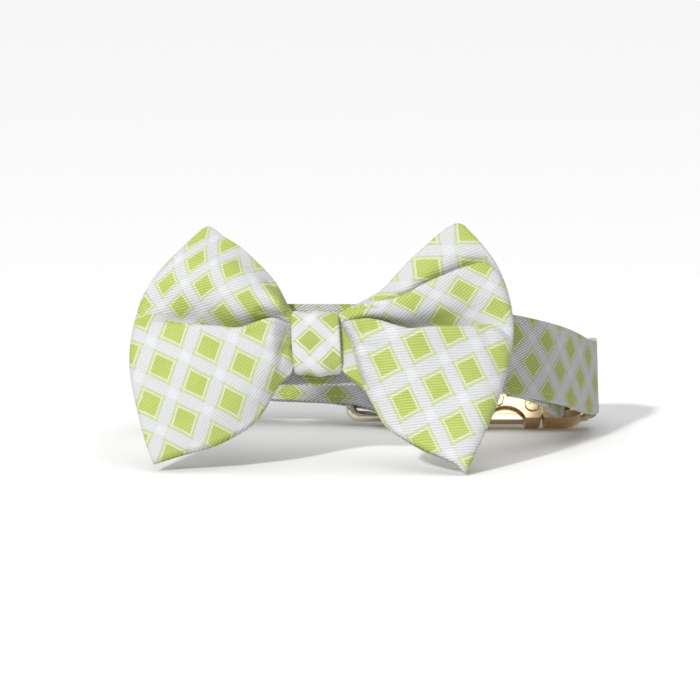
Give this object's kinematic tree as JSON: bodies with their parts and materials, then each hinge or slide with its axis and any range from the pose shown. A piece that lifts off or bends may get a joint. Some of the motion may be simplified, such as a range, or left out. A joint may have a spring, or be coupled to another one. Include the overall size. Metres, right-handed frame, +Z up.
{
  "type": "pet bow tie collar",
  "caption": "Checked cloth collar for a small pet, a closed loop with a metal side-release buckle, a hinged D-ring and a large bow held by a knot and elastic keepers.",
  "frame": {"origin": "middle of the whole collar's footprint, on the surface that it stands on", "axes": "+Z up, the bow faces -Y, +X to the viewer's right, the collar's longest side along X"},
  "size_m": [0.1504, 0.123, 0.0751],
  "materials": {
    "band_cloth": "woven cotton, green and white check",
    "bow_cloth": "woven cotton, green and white check",
    "knot_cloth": "woven cotton, green and white check",
    "elastic": "white knitted elastic",
    "rose_gold": "polished, rose gold plated",
    "pale_gold": "polished, pale gold plated"
  },
  "bodies": {
    "collar": {"collar_band": "band_cloth", "bow_loop": "bow_cloth", "bow_knot": "knot_cloth", "bow_keeper_left": "elastic", "bow_keeper_right": "elastic", "buckle_female": "rose_gold", "buckle_male": "rose_gold", "buckle_screw_1": "rose_gold", "buckle_screw_2": "rose_gold", "buckle_screw_3": "rose_gold", "buckle_screw_4": "rose_gold"},
    "ring": {"d_ring": "pale_gold"}
  },
  "joints": [
    {"name": "d_ring_swing", "type": "hinge", "parent": "collar", "child": "ring", "pos_m": [-0.00652, 0.05147, 0.01813], "axis": [0, 0.3201, 0.9474], "range_deg": [0, 90]}
  ]
}
